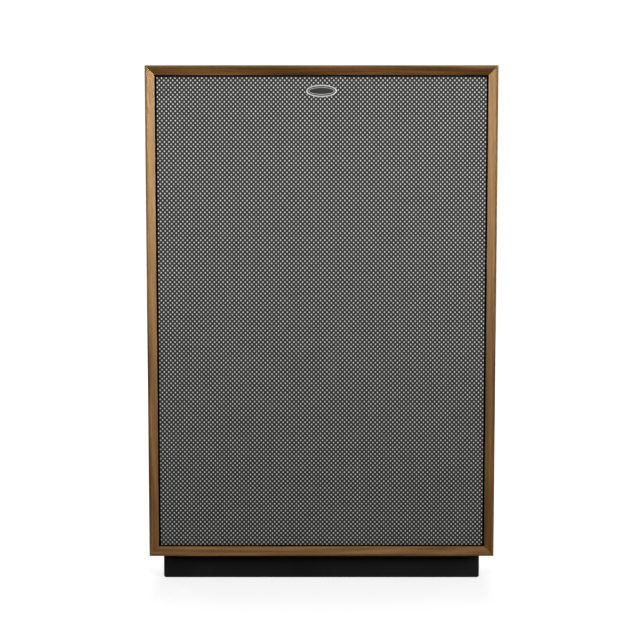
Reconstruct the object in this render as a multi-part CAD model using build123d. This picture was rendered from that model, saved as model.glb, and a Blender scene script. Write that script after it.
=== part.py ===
"""Floorstanding three-way bass-reflex loudspeaker: walnut-veneered cabinet on a black plinth,
removable cloth grille, 15 inch woofer, midrange and treble horns with compression drivers,
three front ports, crossover and a recessed terminal cup. Millimetres, +Z up, front towards -Y,
origin on the floor under the middle of the cabinet."""

import math
import os

from build123d import *

# ---------------------------------------------------------------- driving dimensions
WIDTH, DEPTH, HEIGHT = 643.0, 394.0, 965.0
PANEL = 17.5  # cabinet top, bottom and sides, with their veneer
BOARD = 19.0  # back panel, plinth and brace
FRONT, REAR = -DEPTH / 2, DEPTH / 2

PLINTH_HEIGHT = 57.0
PLINTH_INSET_SIDE, PLINTH_INSET_FRONT, PLINTH_INSET_BACK = 21.0, 62.0, 25.0
PLINTH_CHAMFER = 3.0
PLINTH_HALF = WIDTH / 2 - PLINTH_INSET_SIDE
PLINTH_Y0, PLINTH_Y1 = FRONT + PLINTH_INSET_FRONT, REAR - PLINTH_INSET_BACK
PLINTH_BLOCK = 44.0

LIP = 4.0  # flat band round the cabinet's front edge, before the bevel
BEVEL_DEPTH = 6.0
EDGE_ROUND = 1.2

BAFFLE_RECESS, BAFFLE_THICK = 26.0, 25.0
BAFFLE_FRONT = FRONT + BAFFLE_RECESS
BAFFLE_BACK = BAFFLE_FRONT + BAFFLE_THICK
BACK_PANEL_INSET = 10.0
BACK_OUTER = REAR - BACK_PANEL_INSET
BACK_INNER = BACK_OUTER - BOARD

INNER_X = WIDTH / 2 - PANEL
INNER_Z0, INNER_Z1 = PLINTH_HEIGHT + PANEL, HEIGHT - PANEL
CLEAT = 19.0
PAD_THICK = 25.0  # wadding

CLOTH_RECESS, CLOTH_THICK = 8.0, 1.0
CLOTH_FRONT = FRONT + CLOTH_RECESS
GRILLE_HALF_WIDTH = INNER_X - 2.5
GRILLE_Z0, GRILLE_Z1 = INNER_Z0 + 1.0, INNER_Z1 - 3.0
GRILLE_FRAME_THICK, GRILLE_BORDER, GRILLE_BAR = 15.0, 26.0, 22.0
GRILLE_BAR_Z = 587.0
GRILLE_BACK = CLOTH_FRONT + CLOTH_THICK + GRILLE_FRAME_THICK
MAGNET_RADIUS, MAGNET_THICK = 6.0, 5.0
CATCH_RADIUS, CATCH_REBATE, CATCH_GAP = 8.0, 2.0, 0.3
MAGNET_X = GRILLE_HALF_WIDTH - CLOTH_THICK - GRILLE_BORDER / 2
MAGNET_Z = (100.0, 390.0, 660.0, 920.0)

BADGE_WIDTH, BADGE_HEIGHT, BADGE_THICK = 56.0, 22.0, 3.0
BADGE_Z = HEIGHT - 46.0

WOOFER_Z = 390.0
WOOFER_REBATE_RADIUS, WOOFER_HOLE_RADIUS = 195.0, 180.0
WOOFER_BOLTS, WOOFER_BOLT_CIRCLE = 8, 187.0
BOLT_RADIUS, BOLT_LENGTH = 2.5, 34.0
BASKET_WINDOWS, WINDOW_ANGLE = 8, 30.0
GAP_RADIUS, POLE_RADIUS = 39.3, 36.4
FORMER_RADIUS, FORMER_WALL, COIL_WALL = 37.2, 0.4, 0.9
CONE_RADIUS, CONE_NECK, CONE_WALL = 152.0, 37.7, 1.2
CONE_FRONT, CONE_BACK = 7.0, 78.0
CAP_RADIUS, CAP_HEIGHT = 56.0, 15.0

MID_Z, TWEETER_Z = 690.0, 858.0
FLANGE = 3.0  # horn and port flanges, let flush into the baffle
HORN_SCREW_INSET = 8.0
MID_FLANGE, MID_MOUTH = (440.0, 200.0), (412.0, 172.0)
MID_LENGTH, MID_THROAT = 165.0, 20.0
TWEETER_FLANGE, TWEETER_MOUTH = (210.0, 116.0), (186.0, 92.0)
TWEETER_LENGTH, TWEETER_THROAT = 92.0, 12.5

PORT_X = (-190.0, 0.0, 190.0)
PORT_Z = 140.0
PORT_FLANGE = (160.0, 84.0)
PORT_MOUTH, PORT_DUCT = (140.0, 64.0), (108.0, 44.0)
PORT_FLARE_LENGTH, PORT_LENGTH, PORT_WALL = 30.0, 120.0, 3.0

BRACE_Z0 = 572.0

CUP_Z = 420.0
CUP_FLANGE, CUP_POCKET = (170.0, 140.0), (130.0, 100.0)
CUP_DEPTH, CUP_WALL = 25.0, 3.0
CUP_FACE = BACK_OUTER + CUP_WALL
CUP_FLOOR = CUP_FACE - CUP_DEPTH
POST_X, POST_DZ = 30.0, 24.0
POST_RADIUS, POST_BORE = 3.0, 2.0
POST_LENGTH, POST_BORE_DEPTH = 25.0, 18.0
COLLAR_RADIUS, COLLAR_HEIGHT, STRAP_THICK = 8.0, 5.0, 1.0
WASHER_RADIUS, WASHER_THICK = 6.5, 1.5
KNOB_RADIUS, KNOB_LENGTH, KNOB_FLUTES = 7.5, 16.0, 12
THREAD_CLEARANCE = 0.08
STRAP_Y = CUP_FLOOR + COLLAR_HEIGHT
WASHER_Y = STRAP_Y + STRAP_THICK + 0.1
KNOB_Y = WASHER_Y + WASHER_THICK + 0.3
POSTS = {
    "hf_positive": (-POST_X, CUP_Z + POST_DZ),
    "hf_negative": (POST_X, CUP_Z + POST_DZ),
    "lf_positive": (-POST_X, CUP_Z - POST_DZ),
    "lf_negative": (POST_X, CUP_Z - POST_DZ),
}

CROSSOVER_Y0, CROSSOVER_THICK = 128.0, 6.0
CROSSOVER_SIZE = (230.0, 170.0)
STANDOFF_RADIUS, STANDOFF_INSET = 5.0, 12.0
LEAD_RADIUS = 2.2

SCREW_HEAD, SCREW_SHANK, SCREW_HOLE_GAP = 3.8, 2.0, 0.1
FRONT_SCREW_LENGTH, BACK_SCREW_LENGTH, CUP_SCREW_LENGTH = 22.0, 32.0, 17.0
PLINTH_SCREW_Z, PLINTH_SCREW_LENGTH = 32.0, 38.0


# ---------------------------------------------------------------- helpers
def block(x0, x1, y0, y1, z0, z1):
    """A box between two corners."""
    return Pos((x0 + x1) / 2, (y0 + y1) / 2, (z0 + z1) / 2) * Box(x1 - x0, y1 - y0, z1 - z0)


def rod(radius, y0, y1, x=0.0, z=0.0):
    """A cylinder along Y."""
    return Pos(x, (y0 + y1) / 2, z) * Rot(90, 0, 0) * Cylinder(radius, y1 - y0)


def ring(outer, inner, y0, y1, x=0.0, z=0.0):
    """A tube along Y."""
    return rod(outer, y0, y1, x, z) - rod(inner, y0 - 1, y1 + 1, x, z)


def turned(points, y=0.0, x=0.0, z=0.0, arc=360.0):
    """A solid of revolution about Y, from an outline of (radius, distance behind y) points."""
    outline = make_face(Polyline(*points, close=True))
    return Pos(x, y, z) * revolve(outline, Axis.Y, arc)


def ribbon(path, thick, y=0.0, x=0.0, z=0.0):
    """A thin ring of revolution about Y: path is a run of edges in (radius, depth), and thick
    is its thickness along Y."""
    front = Wire(path)
    back = Pos(0, thick, 0) * front
    ends = [Line(front @ t, back @ t) for t in (0, 1)]
    outline = make_face([*front.edges(), *back.edges(), *ends])
    return Pos(x, y, z) * revolve(outline, Axis.Y)


def waves(r0, r1, count, depth, height):
    """count half waves between two radii, each an arc that rises or falls by height in turn."""
    step, arcs = (r1 - r0) / count, []
    for i in range(count):
        a = r0 + i * step
        crest = depth - height * (-1) ** i
        arcs.append(ThreePointArc((a, depth), (a + step / 2, crest), (a + step, depth)))
    return arcs


def rounded_sheet(width, height, radius, y, x=0.0, z=0.0):
    """A rounded rectangle in an XZ plane, as a face for a loft or an extrusion."""
    return Pos(x, y, z) * Rot(90, 0, 0) * RectangleRounded(width, height, radius)


def plate(width, height, radius, y0, y1, x=0.0, z=0.0):
    """A rounded rectangular plate facing Y."""
    return extrude(rounded_sheet(width, height, radius, y1, x, z), y1 - y0)


def joined(solids):
    """Several separate solids as one node."""
    return Compound(children=[s for shape in solids for s in shape.solids()])


def circle_points(count, radius, z, start=0.0):
    angles = [start + 2 * math.pi * i / count for i in range(count)]
    return [(radius * math.cos(a), z + radius * math.sin(a)) for a in angles]


def drilled(board, points, radius, y0, y1):
    """The board with a straight hole along Y at each (x, z) point."""
    holes = [rod(radius, y0, y1, x, z) for x, z in points]
    return board - holes if holes else board


def screw(x, z, face, way, length, head=SCREW_HEAD, shank=SCREW_SHANK):
    """A countersunk wood screw whose head is flush with face; way is +1 where it runs to +Y."""
    outline = [(0, 0.15), (head, 0.15), (shank, 2.0), (shank, length - 3), (0.4, length), (0, length)]
    body = turned([(r, way * d) for r, d in outline], face, x, z)
    slots = [
        block(x - a, x + a, face - 1.3, face + 1.3, z - b, z + b) for a, b in ((2.0, 0.45), (0.45, 2.0))
    ]
    return body - slots


def screw_hole(x, z, face, way, length, head=SCREW_HEAD, shank=SCREW_SHANK):
    """The countersunk hole that a screw of the same size sits in."""
    gap = SCREW_HOLE_GAP
    outline = [
        (0, -1),
        (head + gap, -1),
        (head + gap, 0.15),
        (shank + gap, 2.0 + gap),
        (shank + gap, length + gap),
        (0, length + gap),
    ]
    return turned([(r, way * d) for r, d in outline], face, x, z)


# ---------------------------------------------------------------- cabinet
def grid_frame(half_x, z0, z1, steps_x, steps_z):
    """Points evenly spaced round a rectangle."""
    across = [-half_x + 2 * half_x * i / steps_x for i in range(steps_x + 1)]
    up = [z0 + (z1 - z0) * i / steps_z for i in range(1, steps_z)]
    return [(x, z) for x in across for z in (z0, z1)] + [(x, z) for x in (-half_x, half_x) for z in up]


def flange_points(size, z, columns, x=0.0):
    """Screw places along the long edges of a flange."""
    half_w, half_h = size[0] / 2 - HORN_SCREW_INSET, size[1] / 2 - HORN_SCREW_INSET / 1.5
    across = [x - half_w + 2 * half_w * i / (columns - 1) for i in range(columns)]
    return [(cx, z + side * half_h) for cx in across for side in (-1, 1)]


FRONT_SCREWS = [
    *flange_points(MID_FLANGE, MID_Z, 4),
    *flange_points(TWEETER_FLANGE, TWEETER_Z, 3),
    *[p for x in PORT_X for p in flange_points(PORT_FLANGE, PORT_Z, 2, x)],
]
BACK_SCREWS = grid_frame(INNER_X - CLEAT / 2, INNER_Z0 + CLEAT / 2, INNER_Z1 - CLEAT / 2, 4, 6)
CUP_EDGE = CUP_FLANGE[1] / 2 - 9
CUP_SCREWS = grid_frame(CUP_FLANGE[0] / 2 - 9, CUP_Z - CUP_EDGE, CUP_Z + CUP_EDGE, 2, 2)
CATCHES = [(side * MAGNET_X, z) for side in (-1, 1) for z in MAGNET_Z]
BOLTS = circle_points(WOOFER_BOLTS, WOOFER_BOLT_CIRCLE, WOOFER_Z, math.pi / WOOFER_BOLTS)


def cabinet_panels():
    """Four mitred panels whose front edges slope in towards the grille."""
    shell = block(-WIDTH / 2, WIDTH / 2, FRONT, REAR, PLINTH_HEIGHT, HEIGHT)
    shell = fillet(shell.edges(), EDGE_ROUND)
    middle = (PLINTH_HEIGHT + HEIGHT) / 2
    cabinet_height = HEIGHT - PLINTH_HEIGHT
    shell -= block(-INNER_X, INNER_X, FRONT - 1, REAR + 1, INNER_Z0, INNER_Z1)
    outlines = [
        Pos(0, FRONT + depth, middle)
        * Rot(90, 0, 0)
        * Rectangle(WIDTH - 2 * inset, cabinet_height - 2 * inset)
        for depth, inset in ((0, LIP), (BEVEL_DEPTH, PANEL))
    ]
    shell -= loft(outlines)
    half, low, high = WIDTH / 2, PLINTH_HEIGHT, HEIGHT
    inner = (INNER_X, INNER_Z0, INNER_Z1)
    corners = {
        "cabinet_top": [(-half, high), (half, high), (inner[0], inner[2]), (-inner[0], inner[2])],
        "cabinet_bottom": [(-half, low), (half, low), (inner[0], inner[1]), (-inner[0], inner[1])],
        "cabinet_left_side": [(-half, low), (-half, high), (-inner[0], inner[2]), (-inner[0], inner[1])],
        "cabinet_right_side": [(half, low), (half, high), (inner[0], inner[2]), (inner[0], inner[1])],
    }
    panels = {}
    for name, points in corners.items():
        wedge = make_face(Polyline(*[(x, REAR + 1, z) for x, z in points], close=True))
        panels[name] = shell & extrude(wedge, DEPTH + 2, dir=(0, -1, 0))
    panels["cabinet_bottom"] -= plinth_screw_holes()
    return panels


def motor_board():
    """The front baffle, with rebates and cut-outs for every driver and port."""
    back = BAFFLE_BACK + 1
    board = block(-INNER_X, INNER_X, BAFFLE_FRONT, BAFFLE_BACK, INNER_Z0, INNER_Z1)
    board -= rod(WOOFER_REBATE_RADIUS, BAFFLE_FRONT - 1, BAFFLE_FRONT + 6, 0, WOOFER_Z)
    board -= rod(WOOFER_HOLE_RADIUS, BAFFLE_FRONT - 1, back, 0, WOOFER_Z)
    pockets = [
        (MID_FLANGE, MID_MOUTH, 0.0, MID_Z),
        (TWEETER_FLANGE, TWEETER_MOUTH, 0.0, TWEETER_Z),
        *[(PORT_FLANGE, PORT_MOUTH, x, PORT_Z) for x in PORT_X],
    ]
    for flange, mouth, x, z in pockets:
        board -= plate(flange[0] + 1, flange[1] + 1, 8.5, BAFFLE_FRONT - 1, BAFFLE_FRONT + FLANGE, x, z)
        board -= plate(mouth[0] + 9, mouth[1] + 9, 8.0, BAFFLE_FRONT - 1, back, x, z)
    board -= [screw_hole(x, z, BAFFLE_FRONT, 1, FRONT_SCREW_LENGTH) for x, z in FRONT_SCREWS]
    board = drilled(board, BOLTS, BOLT_RADIUS + 1.2, BAFFLE_FRONT - 1, back)
    return drilled(board, CATCHES, CATCH_RADIUS, BAFFLE_FRONT - 1, BAFFLE_FRONT + CATCH_REBATE)


def cleat_frame(y0, y1):
    """Four battens round the inside of the cabinet."""
    side, inner = INNER_X, INNER_X - CLEAT
    return [
        block(-side, -inner, y0, y1, INNER_Z0, INNER_Z1),
        block(inner, side, y0, y1, INNER_Z0, INNER_Z1),
        block(-inner, inner, y0, y1, INNER_Z0, INNER_Z0 + CLEAT),
        block(-inner, inner, y0, y1, INNER_Z1 - CLEAT, INNER_Z1),
    ]


def cleats():
    front = cleat_frame(BAFFLE_BACK, BAFFLE_BACK + CLEAT)
    holes = [screw_hole(x, z, BACK_OUTER, -1, BACK_SCREW_LENGTH) for x, z in BACK_SCREWS]
    rear = [batten - holes for batten in cleat_frame(BACK_INNER - CLEAT, BACK_INNER)]
    return joined([*front, *rear])


def back_panel():
    panel = block(-INNER_X, INNER_X, BACK_INNER, BACK_OUTER, INNER_Z0, INNER_Z1)
    opening = [side + 2 * CUP_WALL + 1 for side in CUP_POCKET]
    panel -= plate(*opening, 7.0, BACK_INNER - 1, BACK_OUTER + 1, 0, CUP_Z)
    panel -= [screw_hole(x, z, BACK_OUTER, -1, BACK_SCREW_LENGTH) for x, z in BACK_SCREWS]
    panel -= [screw_hole(x, z, CUP_FACE, -1, CUP_SCREW_LENGTH) for x, z in CUP_SCREWS]
    return panel


def window_brace():
    """A shelf across the cabinet, with two windows that let air and leads past."""
    brace = block(-INNER_X, INNER_X, BAFFLE_BACK, BACK_INNER, BRACE_Z0, BRACE_Z0 + BOARD)
    brace -= cleat_frame(BAFFLE_BACK - 1, BAFFLE_BACK + CLEAT)
    brace -= cleat_frame(BACK_INNER - CLEAT, BACK_INNER + 1)
    for side in (-1, 1):
        window = Pos(side * 140, 10, BRACE_Z0) * RectangleRounded(230, 220, 20)
        brace -= extrude(window, BOARD)
    return brace


PLINTH_SCREWS = [
    (sx * (PLINTH_HALF - BOARD - PLINTH_BLOCK / 2), y)
    for sx in (-1, 1)
    for y in (PLINTH_Y0 + BOARD + PLINTH_BLOCK / 2, PLINTH_Y1 - BOARD - PLINTH_BLOCK / 2)
]


def upright(shape, x, y):
    """A screw or its hole, turned to run up through a plinth block into the cabinet."""
    return Pos(x, y, PLINTH_SCREW_Z) * Rot(90, 0, 0) * shape


def plinth_screw_holes():
    return [upright(screw_hole(0, 0, 0, 1, PLINTH_SCREW_LENGTH), x, y) for x, y in PLINTH_SCREWS]


def plinth():
    """Two long and two end boards, mitred into a frame, with a block glued in each corner."""
    half, y0, y1 = PLINTH_HALF, PLINTH_Y0, PLINTH_Y1
    frame = block(-half, half, y0, y1, 0, PLINTH_HEIGHT)
    frame = chamfer(frame.edges().group_by(Axis.Z)[0], PLINTH_CHAMFER)
    inner = half - BOARD
    frame -= block(-inner, inner, y0 + BOARD, y1 - BOARD, -1, PLINTH_HEIGHT + 1)

    def board(*points):
        wedge = make_face(Polyline(*points, close=True))
        return frame & extrude(wedge, PLINTH_HEIGHT, dir=(0, 0, 1))

    sides = [
        board((s * half, y0), (s * half, y1), (s * inner, y1 - BOARD), (s * inner, y0 + BOARD))
        for s in (-1, 1)
    ]
    side, holes = PLINTH_BLOCK / 2, plinth_screw_holes()
    blocks = [
        block(x - side, x + side, y - side, y + side, 0.5, PLINTH_HEIGHT)
        - Pos(x, y, PLINTH_SCREW_Z / 2) * Cylinder(SCREW_HEAD + SCREW_HOLE_GAP, PLINTH_SCREW_Z)
        - holes
        for x, y in PLINTH_SCREWS
    ]
    return {
        "plinth_front_board": board((-half, y0), (half, y0), (inner, y0 + BOARD), (-inner, y0 + BOARD)),
        "plinth_back_board": board((-half, y1), (half, y1), (inner, y1 - BOARD), (-inner, y1 - BOARD)),
        "plinth_side_boards": joined(sides),
        "plinth_corner_blocks": joined(blocks),
    }


def damping_pads():
    """Wadding on the side walls, under the top and on the back panel."""
    y0, y1 = BAFFLE_BACK + CLEAT + 4, BACK_INNER - CLEAT - 4
    pads = []
    for z0, z1 in ((INNER_Z0 + 20, BRACE_Z0 - 6), (BRACE_Z0 + BOARD + 6, INNER_Z1 - PAD_THICK - 8)):
        for side in (-1, 1):
            x0, x1 = sorted((side * INNER_X, side * (INNER_X - PAD_THICK)))
            pads.append(block(x0, x1, y0, y1, z0, z1))
    pads.append(block(-INNER_X + 30, INNER_X - 30, y0, y1, INNER_Z1 - PAD_THICK, INNER_Z1))
    pads.append(block(-250, 250, BACK_INNER - PAD_THICK, BACK_INNER, 610, INNER_Z1 - 40))
    return joined([fillet(pad.edges(), 6) for pad in pads])


# ---------------------------------------------------------------- grille
def oval(width, height, y, thick):
    """An oval plate at the badge's place, from y towards the front."""
    return extrude(Pos(0, y, BADGE_Z) * Rot(90, 0, 0) * Ellipse(width / 2, height / 2), thick)


def grille():
    """A frame with one cross bar, its cloth wrap, the magnets in its back and a plain badge."""
    half, z0, z1 = GRILLE_HALF_WIDTH - CLOTH_THICK, GRILLE_Z0 + CLOTH_THICK, GRILLE_Z1 - CLOTH_THICK
    y0, y1 = CLOTH_FRONT + CLOTH_THICK, GRILLE_BACK
    middle, height = (z0 + z1) / 2, z1 - z0
    frame = plate(2 * half, height, 4.0, y0, y1, 0, middle)
    inner = half - GRILLE_BORDER
    bar0, bar1 = GRILLE_BAR_Z - GRILLE_BAR / 2, GRILLE_BAR_Z + GRILLE_BAR / 2
    for low, high in ((z0 + GRILLE_BORDER, bar0), (bar1, z1 - GRILLE_BORDER)):
        frame -= plate(2 * inner, high - low, 14.0, y0 - 1, y1 + 1, 0, (low + high) / 2)
    frame = drilled(frame, CATCHES, MAGNET_RADIUS, y1 - MAGNET_THICK, y1 + 1)

    cloth = plate(2 * half + 2 * CLOTH_THICK, height + 2 * CLOTH_THICK, 5.0, CLOTH_FRONT, y1 - 3, 0, middle)
    cloth -= plate(2 * half, height, 4.0, y0, y1, 0, middle)

    badge = oval(BADGE_WIDTH, BADGE_HEIGHT, CLOTH_FRONT, BADGE_THICK)
    badge -= oval(BADGE_WIDTH - 6, BADGE_HEIGHT - 6, CLOTH_FRONT - BADGE_THICK + 1, 2)
    magnets = [rod(MAGNET_RADIUS, y1 - MAGNET_THICK, y1, x, z) for x, z in CATCHES]
    return {
        "grille_frame": frame,
        "grille_cloth": cloth,
        "grille_badge": badge,
        "grille_magnets": joined(magnets),
    }


def catch_plates():
    """Steel discs let into the baffle, which the grille's magnets pull up to."""
    y0, y1 = GRILLE_BACK + CATCH_GAP, BAFFLE_FRONT + CATCH_REBATE
    return joined([rod(CATCH_RADIUS, y0, y1, x, z) for x, z in CATCHES])


# ---------------------------------------------------------------- woofer
BASKET = [
    (172, 4),
    (194, 4),
    (194, 6),
    (179, 6),
    (176, 22),
    (106, 104),
    (104, 108),
    (52, 108),
    (52, 106),
    (102.5, 106),
    (104, 103),
    (173.5, 21),
]


def at_woofer(points, arc=360.0):
    return turned(points, BAFFLE_FRONT, 0, WOOFER_Z, arc)


def woofer_basket():
    basket = at_woofer(BASKET)
    window = [(60, 32), (190, 32), (190, 97), (60, 97)]
    wedge = turned(window, arc=WINDOW_ANGLE)
    for i in range(BASKET_WINDOWS):
        turn = 360 / BASKET_WINDOWS * (i + 0.5) - WINDOW_ANGLE / 2
        basket -= Pos(0, BAFFLE_FRONT, WOOFER_Z) * Rot(0, turn, 0) * wedge
    return drilled(basket, BOLTS, BOLT_RADIUS + 0.3, BAFFLE_FRONT + 3, BAFFLE_FRONT + 7)


def woofer_gasket():
    gasket = ring(194, 180.5, BAFFLE_FRONT, BAFFLE_FRONT + 4, 0, WOOFER_Z)
    return drilled(gasket, BOLTS, BOLT_RADIUS + 0.3, BAFFLE_FRONT - 1, BAFFLE_FRONT + 5)


def woofer_surround():
    """Three half rolls from the cone's lip to a land on the basket."""
    inner, outer = CONE_RADIUS + 2, 170.0
    path = [
        Line((inner - 6, 5.0), (inner, 5.0)),
        *waves(inner, outer, 3, 5.0, 2.2),
        Line((outer, 5.0), (outer + 1.5, 3.1)),
        Line((outer + 1.5, 3.1), (180, 3.1)),
    ]
    return ribbon(path, 0.8, BAFFLE_FRONT, 0, WOOFER_Z)


def cone_depth(radius):
    """How deep a point on the cone's front lies, on its gently curved side."""
    share = (CONE_RADIUS - 2 - radius) / (CONE_RADIUS - 2 - CONE_NECK)
    return CONE_FRONT + (CONE_BACK - CONE_FRONT) * share**0.92


def woofer_cone():
    outer, middle = CONE_RADIUS - 2, (CONE_RADIUS + CONE_NECK) / 2
    side = ThreePointArc((CONE_NECK, CONE_BACK), (middle, cone_depth(middle)), (outer, CONE_FRONT))
    lip = [Line((outer, CONE_FRONT), (outer + 0.3, 6.0)), Line((outer + 0.3, 6.0), (CONE_RADIUS + 2, 6.0))]
    return ribbon([side, *lip], CONE_WALL, BAFFLE_FRONT, 0, WOOFER_Z)


def woofer_dust_cap():
    rim = cone_depth(CAP_RADIUS) - 0.9
    dome = ThreePointArc((0, rim - CAP_HEIGHT), (CAP_RADIUS / 2, rim - CAP_HEIGHT * 0.76), (CAP_RADIUS, rim))
    return ribbon([dome], 0.8, BAFFLE_FRONT, 0, WOOFER_Z)


def woofer_voice_coil():
    outer = FORMER_RADIUS + FORMER_WALL
    coil = outer + COIL_WALL
    return at_woofer(
        [
            (FORMER_RADIUS, 72),
            (outer, 72),
            (outer, 104),
            (coil, 104),
            (coil, 120),
            (outer, 120),
            (outer, 122),
            (FORMER_RADIUS, 122),
        ]
    )


def woofer_spider():
    """A corrugated centring ring from the voice-coil former to the basket's back plate."""
    inner = FORMER_RADIUS + FORMER_WALL + 0.1
    path = [
        Line((inner, 97), (44, 97)),
        *waves(44, 86, 7, 97, 2.2),
        Line((86, 97), (88, 105)),
        Line((88, 105), (98, 105)),
    ]
    return ribbon(path, 0.8, BAFFLE_FRONT, 0, WOOFER_Z)


def woofer_motor():
    plate_front, magnet_front, back_front, back_end = 108, 116, 138, 146
    pole = [
        (11, plate_front - 2),
        (POLE_RADIUS - 2, plate_front - 2),
        (POLE_RADIUS, plate_front),
        (POLE_RADIUS, back_front),
        (70, back_front),
        (70, back_end - 2),
        (68, back_end),
        (14, back_end),
        (11, back_end - 4),
    ]

    def washer(outer, inner, u0, u1):
        return at_woofer([(inner, u0), (outer, u0), (outer, u1), (inner, u1)])

    return {
        "woofer_top_plate": washer(70, GAP_RADIUS, plate_front, magnet_front),
        "woofer_magnet": washer(78, 45, magnet_front, back_front),
        "woofer_pole_piece": at_woofer(pole),
    }


def woofer_terminals():
    """A terminal block riveted to a spoke, with two push-on tabs."""
    y0 = BAFFLE_FRONT + 84
    body = block(104, 136, y0, y0 + 16, WOOFER_Z - 12, WOOFER_Z + 12)
    body -= at_woofer([(0, 20), (176.2, 20), (176.2, 22), (106.2, 104), (0, 104)])
    tabs = [block(135, 146, y0 + 7.6, y0 + 8.4, z - 3, z + 3) for z in (WOOFER_Z - 6, WOOFER_Z + 6)]
    return body + tabs


def woofer_bolts():
    bolts = []
    for x, z in BOLTS:
        y0 = BAFFLE_FRONT
        head = turned([(0, -3), (3.6, -3), (4.4, -2.2), (4.4, 0), (0, 0)], y0, x, z)
        socket = Pos(x, y0 - 1, z) * Rot(90, 0, 0) * extrude(RegularPolygon(2.2, 6), 3)
        bolts.append(head + rod(BOLT_RADIUS, y0 - 0.5, y0 + BOLT_LENGTH, x, z) - socket)
        nut = ring(9, BOLT_RADIUS + 0.1, BAFFLE_BACK, BAFFLE_BACK + 1.5, x, z)
        nut += ring(BOLT_RADIUS + 1.1, BOLT_RADIUS + 0.1, BAFFLE_BACK - 12, BAFFLE_BACK + 1.5, x, z)
        bolts.append(nut)
    return joined(bolts)


# ---------------------------------------------------------------- horns and compression drivers
def horn(flange, mouth, length, throat, z, power, wall=3.0, boss=18.0):
    """A flared horn from a round throat to a rectangular mouth, with a flange and a driver boss."""
    steps = 5

    def bell(grow, stretch):
        faces = []
        for i in range(steps + 1):
            share = i / steps
            w = throat + (mouth[0] / 2 - throat) * share**power
            h = throat + (mouth[1] / 2 - throat) * share ** (power * 0.9)
            corner = throat * 0.96 * (1 - share) ** 1.5 + 8 * share
            y = BAFFLE_FRONT + length * (1 - share) + stretch * (1 if i == 0 else -1 if i == steps else 0)
            faces.append(rounded_sheet(2 * (w + grow), 2 * (h + grow), corner + grow, y, 0, z))
        return loft(faces)

    body = bell(wall, 0.0)
    body += plate(*flange, 8.0, BAFFLE_FRONT, BAFFLE_FRONT + FLANGE, 0, z)
    body += rod(throat + boss, BAFFLE_FRONT + length - 6, BAFFLE_FRONT + length, 0, z)
    return body - bell(0.0, 0.5)


def with_screw_holes(shape, points):
    return shape - [screw_hole(x, z, BAFFLE_FRONT, 1, FRONT_SCREW_LENGTH) for x, z in points]


def compression_driver(prefix, z, depth, throat, coil, body, magnet):
    """A driver behind a horn: depth is the horn's length, coil the voice coil's radius."""
    at = BAFFLE_FRONT + depth
    plate_t, top_t = 8.0, 7.0
    gap0, gap1 = coil - 0.9, coil + 0.9
    top0 = plate_t + magnet
    top1 = top0 + top_t
    bore_back = coil * 0.8

    pole = turned(
        [
            (throat, 0),
            (body, 0),
            (body, plate_t),
            (gap0, plate_t),
            (gap0, top1),
            (bore_back, top1),
            (bore_back, top1 - 2),
        ],
        at,
        0,
        z,
    )
    plug_front = top1 - 24
    plug = turned(
        [(0, plug_front), (bore_back * 0.35, plug_front + 10), (bore_back * 0.62, top1), (0, top1)],
        at,
        0,
        z,
    )
    rib = Pos(bore_back * 0.7, 0, 0) * Box(bore_back * 0.8, 5, 1.6)
    ribs = [Pos(0, at + top1 - 3, z) * Rot(0, 120 * i, 0) * rib for i in range(3)]
    dome0 = top1 + 1.6
    rise = coil * 0.36
    dome = ThreePointArc((0, dome0 + rise), (coil / 2, dome0 + rise * 0.77), (coil - 0.4, dome0))
    skirt = [Line((coil - 0.4, dome0), (coil + 0.4, dome0)), *waves(coil + 0.4, coil + 6.4, 2, dome0, 0.8)]
    diaphragm = ribbon([dome, *skirt], 0.4, at, 0, z)
    diaphragm += ring(coil + 0.15, coil - 0.15, at + top0 + 1, at + dome0 + 0.2, 0, z)

    cap_r, cap_h = body * 0.86, 26.0
    cap = turned(
        [
            (coil + 8, top1),
            (cap_r, top1),
            (cap_r, top1 + cap_h - 4),
            (cap_r - 4, top1 + cap_h),
            (0, top1 + cap_h),
            (0, top1 + cap_h - 3),
            (coil + 8, top1 + cap_h - 3),
        ],
        at,
        0,
        z,
    )
    side = -1 if prefix == "tweeter" else 1
    tab_x = sorted((side * cap_r, side * (cap_r + 8)))
    for dx in (-4, 4):
        y = at + top1 + 12 + dx
        cap += block(tab_x[0] - 0.5, tab_x[1] + 0.5, y - 2.4, y + 2.4, z - 3, z - 2.2)
    return {
        f"{prefix}_pole_piece": pole + plug + ribs,
        f"{prefix}_magnet": ring(body + 2, gap1 + 8, at + plate_t, at + top0, 0, z),
        f"{prefix}_top_plate": ring(body, gap1, at + top0, at + top1, 0, z),
        f"{prefix}_diaphragm": diaphragm,
        f"{prefix}_rear_cap": cap,
    }


# ---------------------------------------------------------------- ports
def port(x):
    """A flange, a flared mouth and a straight duct of constant wall."""

    def tube(grow, stretch):
        mouth = [side + 2 * grow for side in PORT_MOUTH]
        throat = [side + 2 * grow for side in PORT_DUCT]
        neck = BAFFLE_FRONT + PORT_FLARE_LENGTH
        end = BAFFLE_FRONT + PORT_LENGTH + stretch
        flare = loft(
            [
                rounded_sheet(*mouth, 8 + grow, BAFFLE_FRONT - stretch, x, PORT_Z),
                rounded_sheet(*throat, 8 + grow, neck, x, PORT_Z),
            ]
        )
        return flare + plate(*throat, 8 + grow, neck, end, x, PORT_Z)

    body = tube(PORT_WALL, 0.0) + plate(*PORT_FLANGE, 8.0, BAFFLE_FRONT, BAFFLE_FRONT + FLANGE, x, PORT_Z)
    body -= tube(0.0, 1.0)
    return with_screw_holes(body, flange_points(PORT_FLANGE, PORT_Z, 2, x))


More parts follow.
